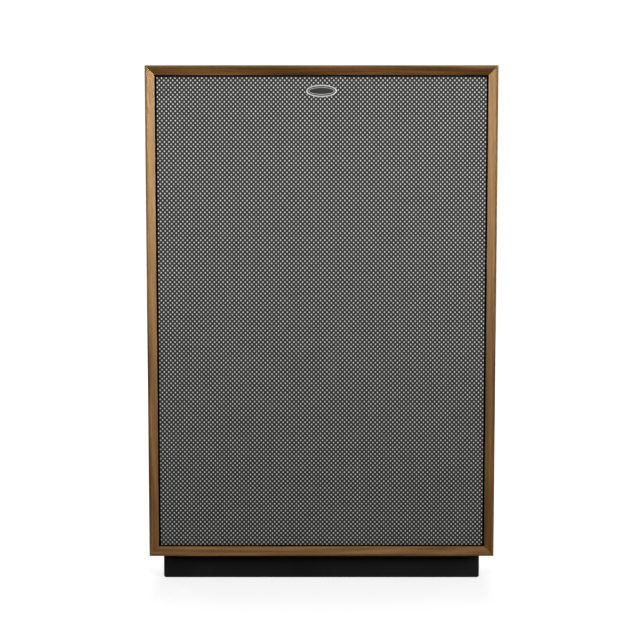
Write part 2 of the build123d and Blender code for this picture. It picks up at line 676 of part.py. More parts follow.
# ---------------------------------------------------------------- terminals
def terminal_cup():
    """A moulded cup with a flange, and a raised collar round each binding post."""
    pocket = CUP_POCKET
    cup = plate(*CUP_FLANGE, 8.0, BACK_OUTER, CUP_FACE, 0, CUP_Z)
    outside = [side + 2 * CUP_WALL for side in pocket]
    cup += plate(*outside, 6.5, CUP_FLOOR - CUP_WALL, BACK_OUTER, 0, CUP_Z)
    cup -= plate(*pocket, 5.0, CUP_FLOOR, CUP_FACE + 1, 0, CUP_Z)
    cup += [rod(COLLAR_RADIUS, CUP_FLOOR - 1, STRAP_Y, x, z) for x, z in POSTS.values()]
    cup = drilled(cup, POSTS.values(), POST_RADIUS + 0.05, CUP_FLOOR - CUP_WALL - 1, STRAP_Y + 1)
    return cup - [screw_hole(x, z, CUP_FACE, -1, CUP_SCREW_LENGTH) for x, z in CUP_SCREWS]


def binding_posts():
    """Four threaded posts, hollow at the outer end, each held by a nut behind the cup."""
    posts = []
    end = CUP_FLOOR + POST_LENGTH
    for x, z in POSTS.values():
        post = rod(POST_RADIUS, CUP_FLOOR - 19, end, x, z)
        post -= rod(POST_BORE, end - POST_BORE_DEPTH, end + 1, x, z)
        post -= Pos(x, KNOB_Y + 2.2, z) * Cylinder(1.7, 4 * POST_RADIUS)
        nut = Pos(x, CUP_FLOOR - CUP_WALL, z) * Rot(90, 0, 0) * extrude(RegularPolygon(5.8, 6), 4)
        posts.append(post + nut)
    return joined(posts)


def jumper_straps():
    """Two plates, each joining the two posts of one sign."""
    straps = []
    for x in (-POST_X, POST_X):
        slot = Rot(0, 0, 90) * SlotCenterToCenter(2 * POST_DZ, 12)
        strap = extrude(Pos(x, STRAP_Y + STRAP_THICK, CUP_Z) * Rot(90, 0, 0) * slot, STRAP_THICK)
        ends = [(x, CUP_Z - POST_DZ), (x, CUP_Z + POST_DZ)]
        straps.append(drilled(strap, ends, POST_RADIUS + 0.2, 0, REAR))
    return joined(straps)


def clamp_washer(x, z):
    return ring(WASHER_RADIUS, POST_RADIUS + THREAD_CLEARANCE, WASHER_Y, WASHER_Y + WASHER_THICK, x, z)


def post_knob(x, z):
    r, length = KNOB_RADIUS, KNOB_LENGTH
    outline = [(0, 0), (r - 0.6, 0), (r, 0.6), (r, length - 1), (r - 1, length), (0, length)]
    knob = turned(outline, KNOB_Y, x, z)
    for fx, fz in circle_points(KNOB_FLUTES, r + 0.7, z):
        knob -= rod(1.3, KNOB_Y + 2.5, KNOB_Y + length + 1, x + fx, fz)
    return knob - rod(POST_RADIUS + THREAD_CLEARANCE, KNOB_Y - 1, KNOB_Y + length + 1, x, z)


# ---------------------------------------------------------------- crossover and leads
def crossover_board():
    w, h = CROSSOVER_SIZE
    board = plate(w, h, 3.0, CROSSOVER_Y0, CROSSOVER_Y0 + CROSSOVER_THICK, 0, CUP_Z)
    dx, dz = w / 2 - STANDOFF_INSET, h / 2 - STANDOFF_INSET
    corners = [(sx * dx, CUP_Z + sz * dz) for sx in (-1, 1) for sz in (-1, 1)]
    y1 = CROSSOVER_Y0 + CROSSOVER_THICK
    board += [rod(STANDOFF_RADIUS, y1, BACK_INNER, x, z) for x, z in corners]
    return board


def crossover_capacitors():
    """Four film capacitors lying side by side, with their end leads bent to the board."""
    caps = []
    for i, radius in enumerate((16.0, 16.0, 12.0, 9.0)):
        z = CUP_Z + 62 - i * 36
        y = CROSSOVER_Y0 - radius - 0.3
        can = Pos(-62, y, z) * Rot(0, 90, 0) * Cylinder(radius, 58)
        can = fillet(can.edges(), 1.5)
        pins = [Pos(-62 + s * 34, y, z) * Rot(0, 90, 0) * Cylinder(0.6, 11) for s in (-1, 1)]
        legs = [rod(0.8, y, CROSSOVER_Y0 - 0.2, -62 + s * 39, z) for s in (-1, 1)]
        caps.append(can + pins + legs)
    return joined(caps)


def crossover_coils():
    """Two air-core inductors and an iron-cored autotransformer."""
    coils = []
    y1 = CROSSOVER_Y0 - 0.2
    for x, z, outer in ((40.0, CUP_Z + 48, 30.0), (40.0, CUP_Z - 44, 34.0)):
        bobbin = ring(outer, 12, y1 - 24, y1, x, z)
        bobbin -= ring(outer + 1, outer - 3, y1 - 22, y1 - 2, x, z)
        coils.append(bobbin)
    core = block(76, 106, y1 - 40, y1, CUP_Z - 26, CUP_Z + 22)
    core += fillet(block(68, 114, y1 - 34, y1 - 6, CUP_Z - 15, CUP_Z + 11).edges(), 3)
    coils.append(core)
    return joined(coils)


def lead(points, radius, offset):
    """One insulated wire along straight runs and arcs, moved sideways by offset."""
    bend = 14.0
    path = FilletPolyline(*[Vector(*p) + Vector(*offset) for p in points], radius=bend)
    return sweep((path ^ 0) * Circle(radius), path)


def internal_leads():
    """A pair of wires from the crossover to each driver."""
    y1 = CROSSOVER_Y0 - 0.3
    woofer = [
        (104, y1, WOOFER_Z + 84),
        (104, 95, WOOFER_Z + 84),
        (150, 40, WOOFER_Z + 50),
        (170, -40, WOOFER_Z),
        (147, BAFFLE_FRONT + 92, WOOFER_Z),
    ]
    mid = [(70, y1, 492), (70, 90, 492), (70, 90, 610), (64, 42, 650), (64, 42, 683)]
    tweeter = [(-96, y1, 492), (-96, 90, 492), (-96, 90, 770), (-46, -24, 815), (-46, -24, 851)]
    gap = LEAD_RADIUS + 0.3
    wires = []
    for route, way in ((woofer, (0, 0, 1)), (mid, (1, 0, 0)), (tweeter, (1, 0, 0))):
        for side in (-gap, gap):
            wires.append(lead(route, LEAD_RADIUS, [side * c for c in way]))
    return joined(wires)


def front_screws():
    return joined([screw(x, z, BAFFLE_FRONT, 1, FRONT_SCREW_LENGTH) for x, z in FRONT_SCREWS])


def cabinet_screws():
    """The screws of the back panel, the terminal cup and the plinth."""
    panel = [screw(x, z, BACK_OUTER, -1, BACK_SCREW_LENGTH) for x, z in BACK_SCREWS]
    cup = [screw(x, z, CUP_FACE, -1, CUP_SCREW_LENGTH) for x, z in CUP_SCREWS]
    foot = [upright(screw(0, 0, 0, 1, PLINTH_SCREW_LENGTH), x, y) for x, y in PLINTH_SCREWS]
    return joined([*panel, *cup, *foot])


# ---------------------------------------------------------------- the whole part
def all_nodes():
    nodes = {**cabinet_panels(), **plinth(), **grille(), **woofer_motor()}
    nodes["motor_board"] = motor_board()
    nodes["back_panel"] = back_panel()
    nodes["cleats"] = cleats()
    nodes["window_brace"] = window_brace()
    nodes["damping_pads"] = damping_pads()
    nodes["catch_plates"] = catch_plates()
    nodes["woofer_basket"] = woofer_basket()
    nodes["woofer_gasket"] = woofer_gasket()
    nodes["woofer_surround"] = woofer_surround()
    nodes["woofer_cone"] = woofer_cone()
    nodes["woofer_dust_cap"] = woofer_dust_cap()
    nodes["woofer_voice_coil"] = woofer_voice_coil()
    nodes["woofer_spider"] = woofer_spider()
    nodes["woofer_terminals"] = woofer_terminals()
    nodes["woofer_bolts"] = woofer_bolts()
    mid = horn(MID_FLANGE, MID_MOUTH, MID_LENGTH, MID_THROAT, MID_Z, 1.55)
    nodes["mid_horn"] = with_screw_holes(mid, flange_points(MID_FLANGE, MID_Z, 4))
    tweeter = horn(TWEETER_FLANGE, TWEETER_MOUTH, TWEETER_LENGTH, TWEETER_THROAT, TWEETER_Z, 1.5)
    nodes["tweeter_horn"] = with_screw_holes(tweeter, flange_points(TWEETER_FLANGE, TWEETER_Z, 3))
    nodes.update(compression_driver("mid", MID_Z, MID_LENGTH, MID_THROAT, 22.2, 56.0, 18.0))
    nodes.update(compression_driver("tweeter", TWEETER_Z, TWEETER_LENGTH, TWEETER_THROAT, 12.7, 38.0, 12.0))
    nodes["port_tubes"] = joined([port(x) for x in PORT_X])
    nodes["front_screws"] = front_screws()
    nodes["cabinet_screws"] = cabinet_screws()
    nodes["terminal_cup"] = terminal_cup()
    nodes["binding_posts"] = binding_posts()
    nodes["jumper_straps"] = jumper_straps()
    for name, (x, z) in POSTS.items():
        nodes[f"knob_{name}"] = post_knob(x, z)
        nodes[f"washer_{name}"] = clamp_washer(x, z)
    nodes["crossover_board"] = crossover_board()
    nodes["crossover_capacitors"] = crossover_capacitors()
    nodes["crossover_coils"] = crossover_coils()
    nodes["internal_leads"] = internal_leads()
    return nodes


def main():
    os.makedirs("parts", exist_ok=True)
    for name, shape in all_nodes().items():
        export_step(shape, f"parts/{name}.step")


main()
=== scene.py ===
"""Looks of the floorstanding speaker: materials, woven grille, soft parts, floor, light and camera."""

import math

import bmesh
import bpy
import numpy as np
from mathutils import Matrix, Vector


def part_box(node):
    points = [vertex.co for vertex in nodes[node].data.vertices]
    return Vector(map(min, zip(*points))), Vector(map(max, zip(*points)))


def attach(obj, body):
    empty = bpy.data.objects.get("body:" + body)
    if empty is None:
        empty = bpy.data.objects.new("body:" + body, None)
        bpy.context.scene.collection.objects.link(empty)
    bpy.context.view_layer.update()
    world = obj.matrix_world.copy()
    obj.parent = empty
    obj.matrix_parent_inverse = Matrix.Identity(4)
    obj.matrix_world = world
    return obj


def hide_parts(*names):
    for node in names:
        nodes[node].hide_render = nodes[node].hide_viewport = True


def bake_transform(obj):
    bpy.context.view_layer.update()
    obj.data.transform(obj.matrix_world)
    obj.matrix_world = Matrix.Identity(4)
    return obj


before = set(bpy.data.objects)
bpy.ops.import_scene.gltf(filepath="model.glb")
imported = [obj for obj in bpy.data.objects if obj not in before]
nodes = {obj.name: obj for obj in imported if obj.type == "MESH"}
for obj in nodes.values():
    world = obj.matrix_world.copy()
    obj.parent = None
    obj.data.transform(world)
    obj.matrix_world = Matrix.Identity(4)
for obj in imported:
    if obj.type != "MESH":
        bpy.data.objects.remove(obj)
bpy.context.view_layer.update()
MM = 0.001
HAIR = 0.2 * MM  # how far past a face a mask reaches, so that the face is surely in it


# ---------------------------------------------------------------- camera, floor and light
def camera(place, pitch, lens):
    """A level camera that looks along +Y, tipped down by pitch degrees; lens and sensor are in mm."""
    data = bpy.data.cameras.new("camera")
    data.lens = lens
    data.sensor_width = 36
    data.clip_end = 60
    obj = bpy.data.objects.new("camera", data)
    obj.location = place
    obj.rotation_euler = (math.radians(90 - pitch), 0, 0)
    bpy.context.scene.collection.objects.link(obj)
    bpy.context.scene.camera = obj


def area_light(name, place, aim, size, glow, spread=180):
    """A softbox of a given radiance, so that its size can change without its reflection changing."""
    data = bpy.data.lights.new(name, "AREA")
    data.shape = "RECTANGLE"
    data.size, data.size_y = size
    data.energy = glow * math.pi * size[0] * size[1]
    data.spread = math.radians(spread)
    obj = bpy.data.objects.new(name, data)
    obj.location = place
    obj.rotation_euler = (Vector(aim) - Vector(place)).to_track_quat("-Z", "Y").to_euler()
    bpy.context.scene.collection.objects.link(obj)


def world_light(stops, strength):
    """A soft sky that is bright above and dark below; stops are (share from the lowest point, level)."""
    world = bpy.data.worlds.new("studio")
    world.use_nodes = True
    bpy.context.scene.world = world
    tree = world.node_tree
    coords = tree.nodes.new("ShaderNodeTexCoord")
    split = tree.nodes.new("ShaderNodeSeparateXYZ")
    span = tree.nodes.new("ShaderNodeMapRange")
    ramp = tree.nodes.new("ShaderNodeValToRGB")
    span.inputs["From Min"].default_value = -1
    tree.links.new(coords.outputs["Generated"], split.inputs[0])
    tree.links.new(split.outputs["Z"], span.inputs["Value"])
    tree.links.new(span.outputs[0], ramp.inputs[0])
    elements = ramp.color_ramp.elements
    while len(elements) < len(stops):
        elements.new(0.5)
    for element, (at, level) in zip(elements, stops):
        element.position = at
        element.color = (level, level, level, 1)
    background = tree.nodes["Background"]
    tree.links.new(ramp.outputs[0], background.inputs["Color"])
    background.inputs["Strength"].default_value = strength


def self_lit(name, albedo, glow=1.0):
    """A pale matt material that gives most of its light itself."""
    white = (1, 1, 1, 1)
    return Look(
        name, (albedo,) * 3, 0.9, Specular_IOR_Level=0.0, Emission_Color=white, Emission_Strength=glow
    )


def floor_white_painted_shadow():
    """White, with a painted shadow where the glow is lower in a soft patch just ahead of the plinth, and
    painted light that makes it a little brighter far away.
    """
    look = self_lit("floor_white_painted_shadow", 0.36)
    x, y, _ = look.split()
    # painted shadow: these masks mark where it ends, beside the plinth, far ahead of it and behind its front
    beside = look.span(look.math("ABSOLUTE", x), 0.30, 0.37)
    ahead = look.span(y, -0.24, -0.60)
    behind = look.span(y, -0.12, 0.0)
    away = look.math("MAXIMUM", beside, look.math("MAXIMUM", ahead, behind))
    distance = look.node("VectorMath", {0: look.object_coords}, operation="LENGTH").outputs["Value"]
    # painted shadow and light: the glow is 0.78 in a soft patch just ahead of the plinth and 0.95 outside it,
    # and painted light adds up to 0.1 more far away
    painted_shadow_glow = look.span(away, 0, 1, 0.78, 0.95)
    far_painted_light_glow = look.span(distance, 0.7, 1.6, 0, 0.1)
    look.feed("Emission Strength", look.math("ADD", painted_shadow_glow, far_painted_light_glow))
    return look.mat


def studio():
    """A pale floor and an endless white backdrop, which only the camera sees."""
    bm = bmesh.new()
    bmesh.ops.create_circle(bm, cap_ends=True, segments=64, radius=16)
    floor = mesh_object("floor", bm)
    floor.location.z = -0.4 * MM
    floor.data.materials.append(floor_white_painted_shadow())
    bm = bmesh.new()
    bmesh.ops.create_uvsphere(bm, u_segments=48, v_segments=24, radius=15)
    bmesh.ops.reverse_faces(bm, faces=bm.faces)
    backdrop = mesh_object("backdrop", bm)
    backdrop.data.materials.append(self_lit("backdrop_white", 0.0, 1.1).mat)
    for obj in (floor, backdrop):
        obj.visible_diffuse = False
        obj.visible_glossy = False
        obj.visible_transmission = False
        obj.visible_shadow = False


# ---------------------------------------------------------------- mesh helpers
def centre(node):
    """The middle of a CAD node's box."""
    low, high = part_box(node)
    return (Vector(low) + Vector(high)) / 2


def mesh_object(name, bm, smooth=False):
    """A new object from a bmesh, which is used up."""
    data = bpy.data.meshes.new(name)
    bm.to_mesh(data)
    bm.free()
    return link(name, data, smooth)


def link(name, data, smooth=True):
    """A new object in the scene from mesh data."""
    data.polygons.foreach_set("use_smooth", [smooth] * len(data.polygons))
    obj = bpy.data.objects.new(name, data)
    bpy.context.scene.collection.objects.link(obj)
    return obj


def grid_mesh(name, points, wrap_u=False, wrap_v=False):
    """A mesh from a (rows, columns, 3) array of points, joined into quads; a wrap closes a direction."""
    rows, columns = points.shape[:2]
    index = np.arange(rows * columns).reshape(rows, columns)
    down = np.concatenate([index, index[:1]]) if wrap_u else index
    both = np.concatenate([down, down[:, :1]], axis=1) if wrap_v else down
    corners = [both[:-1, :-1], both[:-1, 1:], both[1:, 1:], both[1:, :-1]]
    quads = np.stack(corners, axis=-1).reshape(-1, 4)
    data = bpy.data.meshes.new(name)
    data.vertices.add(rows * columns)
    data.vertices.foreach_set("co", points.reshape(-1).astype(np.float32))
    data.loops.add(quads.size)
    data.loops.foreach_set("vertex_index", quads.reshape(-1).astype(np.int32))
    data.polygons.add(len(quads))
    data.polygons.foreach_set("loop_start", np.arange(0, quads.size, 4, dtype=np.int32))
    data.polygons.foreach_set("loop_total", np.full(len(quads), 4, dtype=np.int32))
    data.update(calc_edges=True)
    data.validate()
    return data


def oval_ring(x, y, z, width, height, angles):
    """Points round an oval that faces Y, from its middle and half sizes."""
    return np.stack([x + width * np.cos(angles), np.full_like(angles, y), z + height * np.sin(angles)], -1)


def full_turn(count):
    """Angles spaced evenly round a circle."""
    return np.linspace(0, 2 * math.pi, count, endpoint=False)


def apply_modifiers(obj):
    """Give the object a plain mesh of what its modifiers show."""
    bpy.context.view_layer.update()
    depsgraph = bpy.context.evaluated_depsgraph_get()
    data = bpy.data.meshes.new_from_object(obj.evaluated_get(depsgraph))
    obj.modifiers.clear()
    obj.data = data


# ---------------------------------------------------------------- materials
class Look:
    """A procedural material: one Principled shader, and short calls for the nodes that feed it."""

    def __init__(self, name, color=(0.5, 0.5, 0.5), rough=0.5, **sockets):
        self.mat = bpy.data.materials.new(name)
        self.mat.use_nodes = True
        self.tree = self.mat.node_tree
        self.shader = self.tree.nodes["Principled BSDF"]
        self.shader.inputs["Base Color"].default_value = (*color, 1)
        self.shader.inputs["Roughness"].default_value = rough
        for key, value in sockets.items():
            self.shader.inputs[key.replace("_", " ")].default_value = value
        self.object_coords = self.tree.nodes.new("ShaderNodeTexCoord").outputs["Object"]

    def node(self, kind, inputs=(), **settings):
        """A new shader node, with each input linked to a socket or set to a value."""
        made = self.tree.nodes.new("ShaderNode" + kind)
        for key, value in settings.items():
            setattr(made, key, value)
        for key, value in dict(inputs).items():
            if isinstance(value, bpy.types.NodeSocket):
                self.tree.links.new(value, made.inputs[key])
            else:
                made.inputs[key].default_value = value
        return made

    def mapped(self, scale, shift=(0, 0, 0), source=None):
        inputs = {"Vector": source or self.object_coords, "Scale": scale, "Location": shift}
        return self.node("Mapping", inputs).outputs[0]

    def noise(self, source, scale=1.0, detail=4.0, rough=0.5, distortion=0.0):
        inputs = {"Vector": source, "Scale": scale, "Detail": detail}
        inputs.update({"Roughness": rough, "Distortion": distortion})
        return self.node("TexNoise", inputs).outputs[0]

    def wave(self, source, scale, distortion, detail, detail_scale, **settings):
        inputs = {"Vector": source, "Scale": scale, "Distortion": distortion}
        inputs.update({"Detail": detail, "Detail Scale": detail_scale})
        return self.node("TexWave", inputs, **settings).outputs["Fac"]

    def math(self, operation, a, b=0.0, c=0.0):
        return self.node("Math", {0: a, 1: b, 2: c}, operation=operation).outputs[0]

    def share(self, a, part, b):
        """A part of a and the rest of b, as numbers."""
        return self.math("MULTIPLY_ADD", a, part, self.math("MULTIPLY", b, 1 - part))

    def span(self, value, low, high, to_low=0.0, to_high=1.0):
        """A value between low and high, clamped and moved to between to_low and to_high."""
        inputs = {"Value": value, "From Min": low, "From Max": high, "To Min": to_low, "To Max": to_high}
        return self.node("MapRange", inputs).outputs[0]

    def ramp(self, value, *stops):
        """A colour from a value, by (value, colour) stops."""
        made = self.node("ValToRGB", {"Fac": value})
        elements = made.color_ramp.elements
        while len(elements) < len(stops):
            elements.new(0.5)
        for element, (at, color) in zip(elements, stops):
            element.position = at
            element.color = (*color, 1)
        return made.outputs[0]

    def mix(self, share, a, b):
        """Colour a, turning to b as share rises; inputs 6 and 7 and output 2 are the node's colours."""
        a, b = (side if isinstance(side, bpy.types.NodeSocket) else (*side, 1) for side in (a, b))
        return self.node("Mix", {0: share, 6: a, 7: b}, data_type="RGBA").outputs[2]

    def split(self, source=None):
        """The X, Y and Z of a vector, which is the place on the object unless given."""
        return self.node("SeparateXYZ", {0: source or self.object_coords}).outputs

    def feed(self, name, source):
        self.tree.links.new(source, self.shader.inputs[name])

    def bump(self, height, strength, distance):
        made = self.node("Bump", {"Height": height, "Strength": strength, "Distance": distance})
        self.feed("Normal", made.outputs[0])

    def grain(self, low, high, scale=900.0, color_shift=0.12, bump=0.15, distance=0.0002):
        """Fine mottling that any moulded, painted or cast surface has."""
        fine = self.noise(self.object_coords, scale, 3)
        broad = self.noise(self.object_coords, 14.0, 3)
        self.feed("Roughness", self.span(self.math("ADD", fine, broad), 0.7, 1.3, low, high))
        base = tuple(self.shader.inputs["Base Color"].default_value)[:3]
        darker = tuple(c * (1 - color_shift) for c in base)
        lighter = tuple(min(1, c * (1 + color_shift)) for c in base)
        mottle = self.math("MULTIPLY", self.math("ADD", fine, broad), 0.5)
        self.feed("Base Color", self.mix(mottle, darker, lighter))
        self.bump(fine, bump, distance)
        return self.mat


def walnut(name, along, seed, tone=1.0):
    """Lacquered veneer: figure, streaks and short open pores that run along one axis of a panel.

    A flat-sawn figure comes from bands bent by slow noise. seed picks another leaf, and tone darkens it.
    """
    look = Look(name, rough=0.4, Specular_IOR_Level=1.0, Coat_Weight=0.05, Coat_Roughness=0.3)
    look.shader.inputs["Specular Tint"].default_value = (1.0, 0.66, 0.32, 1)

    def scaled(across, lengthwise):
        return tuple(lengthwise if i == along else across for i in range(3))

    shift = (seed * 1.7, seed * 2.3, seed * 0.9)
    bend = look.noise(look.mapped(scaled(3.0, 0.22), shift=shift), 1, 2)
    straight = look.mapped(scaled(1, 0.05), shift=shift)
    flow = look.node("VectorMath", {0: straight, 1: bend}, operation="ADD").outputs[0]
    rings = look.wave(flow, 11.0, 2.2, 3, 1.4, wave_type="BANDS", bands_direction="DIAGONAL")
    broad = look.noise(look.mapped(scaled(30, 1.3), shift=shift), 1, 5, 0.55, 0.3)
    streaks = look.noise(look.mapped(scaled(330, 7.0), shift=shift), 1, 6, 0.62)
    pores = look.noise(look.mapped(scaled(1500, 60), shift=shift), 1, 2, 0.5)
    level = look.math("MULTIPLY_ADD", rings, 0.085, look.math("MULTIPLY", broad, 0.43))
    level = look.math("MULTIPLY_ADD", streaks, 0.53, level)
    shades = (
        (0.36, (0.046, 0.019, 0.006)),
        (0.47, (0.112, 0.048, 0.014)),
        (0.57, (0.190, 0.089, 0.028)),
        (0.70, (0.310, 0.163, 0.060)),
    )
    color = look.ramp(level, *((at, tuple(tone * c for c in shade)) for at, shade in shades))
    pore_mask = look.span(pores, 0.60, 0.70)
    color = look.mix(look.math("MULTIPLY", pore_mask, 0.55), color, (0.035, 0.016, 0.007))
    inside, painted = cabinet_inside(look)
    specks = look.noise(look.object_coords, 700, 4, 0.7)
    board = look.ramp(specks, (0.3, (0.30, 0.20, 0.11)), (0.7, (0.56, 0.42, 0.27)))
    # the ends are black: black paint, and before the baffle also painted shade that darkens the gap round the
    # grille
    inner_board_or_black_shade = look.mix(painted, board, (0.006, 0.006, 0.006))
    look.feed("Base Color", look.mix(inside, color, inner_board_or_black_shade))
    crown = look.math("GREATER_THAN", look.split()["Z"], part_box("cabinet_top")[1].z - HAIR)
    dull = look.math("MAXIMUM", inside, look.math("MULTIPLY", crown, 0.8))
    look.feed("Roughness", look.math("MULTIPLY_ADD", dull, 0.4, look.span(streaks, 0.3, 0.7, 0.36, 0.48)))
    look.feed("Specular IOR Level", look.span(dull, 0, 0.8, 1.0, 0.12))
    look.feed("Coat Weight", look.span(dull, 0, 0.5, 0.05, 0.0))
    height = look.math("SUBTRACT", look.math("MULTIPLY", streaks, 0.3), pore_mask)
    look.bump(height, 0.25, 0.0002)
    return look.mat


def cabinet_inside(look):
    """Masks: a panel's inner face, and the black ends of it, before the baffle and past the back panel; the
    black is paint, and before the baffle also painted shade for the gap round the grille.
    """
    low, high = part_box("motor_board")
    x, y, z = look.split()
    across = look.math("LESS_THAN", look.math("ABSOLUTE", x), high.x + HAIR)
    under = look.math("LESS_THAN", z, high.z + HAIR)
    above = look.math("GREATER_THAN", z, low.z - HAIR)
    inside = look.math("MULTIPLY", across, look.math("MULTIPLY", under, above))
    front = look.math("LESS_THAN", y, low.y + HAIR)
    rear = look.math("GREATER_THAN", y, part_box("back_panel")[1].y - HAIR)
    return inside, look.math("MAXIMUM", front, rear)


def raw_board():
    """Bare fibreboard, speckled and a little cloudy."""
    look = Look("bare_fibreboard", rough=0.85)
    specks = look.noise(look.object_coords, 700, 4, 0.7)
    cloud = look.noise(look.object_coords, 25, 3)
    shades = (0.3, (0.30, 0.20, 0.11)), (0.5, (0.46, 0.33, 0.20)), (0.7, (0.60, 0.46, 0.31))
    look.feed("Base Color", look.ramp(look.share(specks, 0.7, cloud), *shades))
    look.bump(specks, 0.3, 0.0003)
    return look.mat


def satin_black(name, level=0.0085, rough=0.45, fibre=False):
    """Black paint over board, with a faint orange peel or raised fibres, and a little paler where worn."""
    look = Look(name, rough=rough, Specular_IOR_Level=0.3)
    relief = look.noise(look.object_coords, 1100, 5, 0.7) if fibre else look.noise(look.object_coords, 420, 3)
    cloud = look.noise(look.object_coords, 9, 4, 0.6)
    wear = look.span(look.noise(look.object_coords, 60, 5, 0.7), 0.62, 0.78)
    base = look.mix(cloud, (level * 0.8,) * 3, (level * 1.3,) * 3)
    look.feed("Base Color", look.mix(look.math("MULTIPLY", wear, 0.5), base, (level * 2.2,) * 3))
    look.feed("Roughness", look.span(cloud, 0.3, 0.7, rough - 0.06, rough + 0.08))
    look.bump(relief, 0.2, 0.0002)
    return look.mat


def turned_metal(name, color, rough, axis_z=0.0, rings=900.0):
    """Metal with fine concentric lathe marks about a line along Y, at x = 0 and the given height."""
    look = Look(name, color, rough, Metallic=1.0)
    centred = look.mapped((1, 1, 1), shift=(0, 0, -axis_z))
    marks = look.wave(centred, rings, 0.4, 1, 1.0, wave_type="RINGS", rings_direction="Y")
    cloud = look.noise(look.object_coords, 45, 4, 0.6)
    look.feed("Roughness", look.span(cloud, 0.3, 0.7, rough - 0.07, rough + 0.1))
    look.feed("Base Color", look.mix(cloud, tuple(c * 0.82 for c in color), color))
    look.bump(marks, 0.12, 0.00005)
    return look.mat


def brushed_metal(name, color, rough, stretch=(1, 1, 30)):
    """Metal with fine brush marks, drawn out along each axis by stretch."""
    look = Look(name, color, rough, Metallic=1.0)
    lines = look.noise(look.mapped(tuple(2600 / s for s in stretch)), 1, 2)
    cloud = look.noise(look.object_coords, 60, 3)
    look.feed("Roughness", look.span(lines, 0.3, 0.7, rough - 0.04, rough + 0.06))
    look.feed("Base Color", look.mix(cloud, tuple(c * 0.88 for c in color), color))
    look.bump(lines, 0.05, 0.00002)
    return look.mat


def cone_paper(name):
    """Pressed pulp: fibres, a coating that is uneven, and faint rings from the felting screen."""
    look = Look(name, rough=0.8)
    fibres = look.noise(look.mapped((500, 900, 500)), 1, 6, 0.75, 1.2)
    blotch = look.noise(look.object_coords, 38, 4, 0.6)
    flat = look.mapped((1, 0, 1), shift=(0, 0, -centre("woofer_cone").z))
    rings = look.wave(flat, 55.0, 0.3, 1, 1.0, wave_type="RINGS", rings_direction="Y")
    shades = (0.3, (0.012, 0.012, 0.013)), (0.7, (0.050, 0.050, 0.053))
    look.feed("Base Color", look.ramp(look.share(fibres, 0.6, blotch), *shades))
    look.bump(look.math("MULTIPLY_ADD", rings, 0.5, fibres), 0.35, 0.0004)
    return look.mat


def doped_cloth(name, dark, light, pitch, gloss=0.55):
    """Fine plain-weave cloth soaked in a dope or resin."""
    look = Look(name, rough=gloss)
    x, _, z = look.split()
    wave_x = look.math("SINE", look.math("MULTIPLY", x, 2 * math.pi / pitch))
    wave_z = look.math("SINE", look.math("MULTIPLY", z, 2 * math.pi / pitch))
    weave = look.math("MULTIPLY_ADD", look.math("MULTIPLY", wave_x, wave_z), 0.5, 0.5)
    blotch = look.noise(look.object_coords, 70, 4, 0.6)
    look.feed("Base Color", look.ramp(look.share(weave, 0.6, blotch), (0.2, dark), (0.85, light)))
    look.feed("Roughness", look.span(blotch, 0.3, 0.7, gloss - 0.1, gloss + 0.15))
    look.bump(weave, 0.4, 0.0002)
    return look.mat


def wound_copper(name):
    """Enamelled wire laid side by side, in turns about Y."""
    wire = 0.9 * MM
    look = Look(name, rough=0.32, Metallic=0.85, Coat_Weight=0.4, Coat_Roughness=0.15)
    turns = look.math("SINE", look.math("MULTIPLY", look.split()["Y"], 2 * math.pi / wire))
    cloud = look.noise(look.object_coords, 90, 3)
    look.feed("Base Color", look.mix(cloud, (0.52, 0.19, 0.07), (0.80, 0.36, 0.16)))
    look.feed("Roughness", look.span(turns, -1, 1, 0.42, 0.26))
    look.bump(turns, 0.5, 0.0003)
    return look.mat


def film_capacitor(name):
    """Yellow film wrapped about X, with fine seams, and potted ends."""
    middle_x, half_body = -62 * MM, 27.2 * MM
    look = Look(name, rough=0.3)
    wrap = look.noise(look.mapped((25, 600, 600)), 1, 3)
    from_middle = look.math("ABSOLUTE", look.math("SUBTRACT", look.split()["X"], middle_x))
    ends = look.math("GREATER_THAN", from_middle, half_body)
    body = look.mix(wrap, (0.50, 0.42, 0.20), (0.66, 0.58, 0.34))
    look.feed("Base Color", look.mix(ends, body, (0.16, 0.12, 0.06)))
    look.feed("Roughness", look.span(wrap, 0.3, 0.7, 0.24, 0.42))
    look.bump(wrap, 0.15, 0.0002)
    return look.mat


def moulded(name, color, rough, texture=1200.0):
    """Plastic with the fine grain of its mould."""
    look = Look(name, color, rough, Specular_IOR_Level=0.5)
    return look.grain(rough - 0.06, rough + 0.1, texture, 0.18, 0.22, 0.00015)


def zinc(part, node):
    """Turned zinc-plated steel, centred on the driver that the node belongs to."""
    return turned_metal(f"zinc_{part}", (0.56, 0.57, 0.56), 0.34, centre(node).z)


